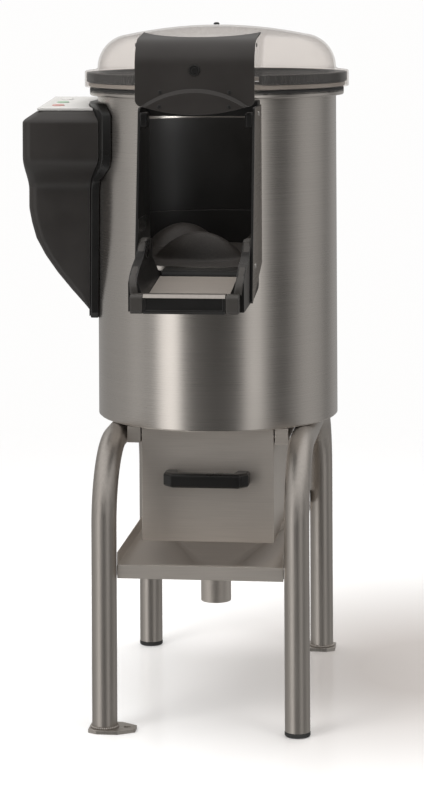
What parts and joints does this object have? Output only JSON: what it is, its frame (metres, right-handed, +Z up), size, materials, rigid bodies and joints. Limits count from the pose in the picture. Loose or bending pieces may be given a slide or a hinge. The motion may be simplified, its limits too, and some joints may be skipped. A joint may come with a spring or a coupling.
{
  "type": "potato peeler",
  "caption": "Floor-standing potato peeler: upright steel drum with clear hinged lid, tilting front door, abrasive disc, belt drive, filter drawer, side control housing and tubular stand.",
  "frame": {"origin": "on the floor, under the middle of the machine's bounding box; the drum's vertical axis stands at x 0.046, y 0.07925", "axes": "+Z up, -Y towards the front where the discharge door is, control housing at -X"},
  "size_m": [0.535, 0.7344, 1.116],
  "materials": {
    "drum_steel": "vertical brushed satin",
    "tube_steel": "polished tube",
    "sheet_steel": "folded satin sheet",
    "bright_steel": "bright turned",
    "black_plastic": "fine grained moulding",
    "liner_black": "satin lining",
    "cover_plastic": "fine grained moulding",
    "rim_plastic": "satin moulding",
    "rubber_black": "matte rubber",
    "clear_lid": "clear moulded plastic",
    "panel_grey": "satin membrane",
    "key_red": "satin",
    "key_green": "satin",
    "board_green": "satin",
    "cast_aluminium": "as cast",
    "motor_paint": "satin paint"
  },
  "bodies": {
    "root": {"left_leg_frame": "tube_steel", "right_leg_frame": "tube_steel", "foot_plate_front_left": "tube_steel", "foot_plate_rear_right": "tube_steel", "rubber_foot_front_right": "rubber_black", "rubber_foot_rear_left": "rubber_black", "drain_tray": "sheet_steel", "drain_pipe": "sheet_steel", "drawer_rail_left": "sheet_steel", "drawer_rail_right": "sheet_steel", "base_plate": "sheet_steel", "drum_shell": "drum_steel", "drum_floor": "sheet_steel", "chamber_liner": "liner_black", "lower_liner_ring": "liner_black", "drum_rim_gasket": "rubber_black", "left_cheek": "drum_steel", "right_cheek": "drum_steel", "left_catch": "black_plastic", "right_catch": "black_plastic", "top_frame": "liner_black", "door_sill": "liner_black", "door_hinge_pin": "bright_steel", "bearing_housing": "cast_aluminium", "upper_bearing": "bright_steel", "lower_bearing": "bright_steel", "shaft_seal": "rubber_black", "motor_body": "motor_paint", "motor_bracket": "sheet_steel", "drive_belt": "rubber_black", "waste_duct": "liner_black", "lid_hinge_bracket": "drum_steel", "lid_hinge_pin": "bright_steel", "housing_base": "black_plastic", "housing_cover": "cover_plastic", "control_panel": "panel_grey", "control_board": "board_green", "power_cable": "rubber_black", "water_valve": "black_plastic"},
    "drawer": {"filter_drawer_box": "sheet_steel", "strainer_plate": "sheet_steel", "drawer_handle": "black_plastic"},
    "door": {"door_scoop": "black_plastic", "door_chute_plate": "sheet_steel", "door_handle_bar": "rim_plastic"},
    "lid": {"lid_dome": "clear_lid", "lid_gasket": "rubber_black", "lid_top_plug": "black_plastic", "lid_front_cover": "cover_plastic", "lid_grip_pad": "cover_plastic", "lid_cover_plug": "cover_plastic", "lid_hinge_leaf": "bright_steel"},
    "disc": {"abrasive_disc": "liner_black", "drive_shaft": "bright_steel", "large_pulley": "cast_aluminium"},
    "motor_rotor": {"motor_pulley": "cast_aluminium", "motor_shaft": "bright_steel"},
    "start_button": {"start_key": "key_green"},
    "stop_button": {"stop_key": "key_red"},
    "timer_button": {"timer_key": "panel_grey"}
  },
  "joints": [
    {"name": "lid_hinge", "type": "hinge", "parent": "root", "child": "lid", "pos_m": [0.046, 0.31925, 1.002], "axis": [-1, 0, 0], "range_deg": [0, 75]},
    {"name": "door_hinge", "type": "hinge", "parent": "root", "child": "door", "pos_m": [0.046, -0.12575, 0.706], "axis": [-1, 0, 0], "range_deg": [0, 80]},
    {"name": "disc_spin", "type": "hinge", "parent": "root", "child": "disc", "pos_m": [0.046, 0.07925, 0.7], "axis": [0, 0, 1], "continuous": true},
    {"name": "motor_spin", "type": "hinge", "parent": "root", "child": "motor_rotor", "pos_m": [0.046, 0.21425, 0.61], "axis": [0, 0, 1], "continuous": true},
    {"name": "drawer_slide", "type": "slide", "parent": "root", "child": "drawer", "axis": [0, -1, 0], "range_m": [0, 0.24]},
    {"name": "start_press", "type": "slide", "parent": "root", "child": "start_button", "axis": [0, 0.0696, -0.9976], "range_m": [0, 0.0015]},
    {"name": "stop_press", "type": "slide", "parent": "root", "child": "stop_button", "axis": [0, 0.0696, -0.9976], "range_m": [0, 0.0015]},
    {"name": "timer_press", "type": "slide", "parent": "root", "child": "timer_button", "axis": [0, 0.0696, -0.9976], "range_m": [0, 0.0015]}
  ],
  "couplings": [
    {"joint": "motor_spin", "follows": "disc_spin", "ratio": 4.5}
  ]
}
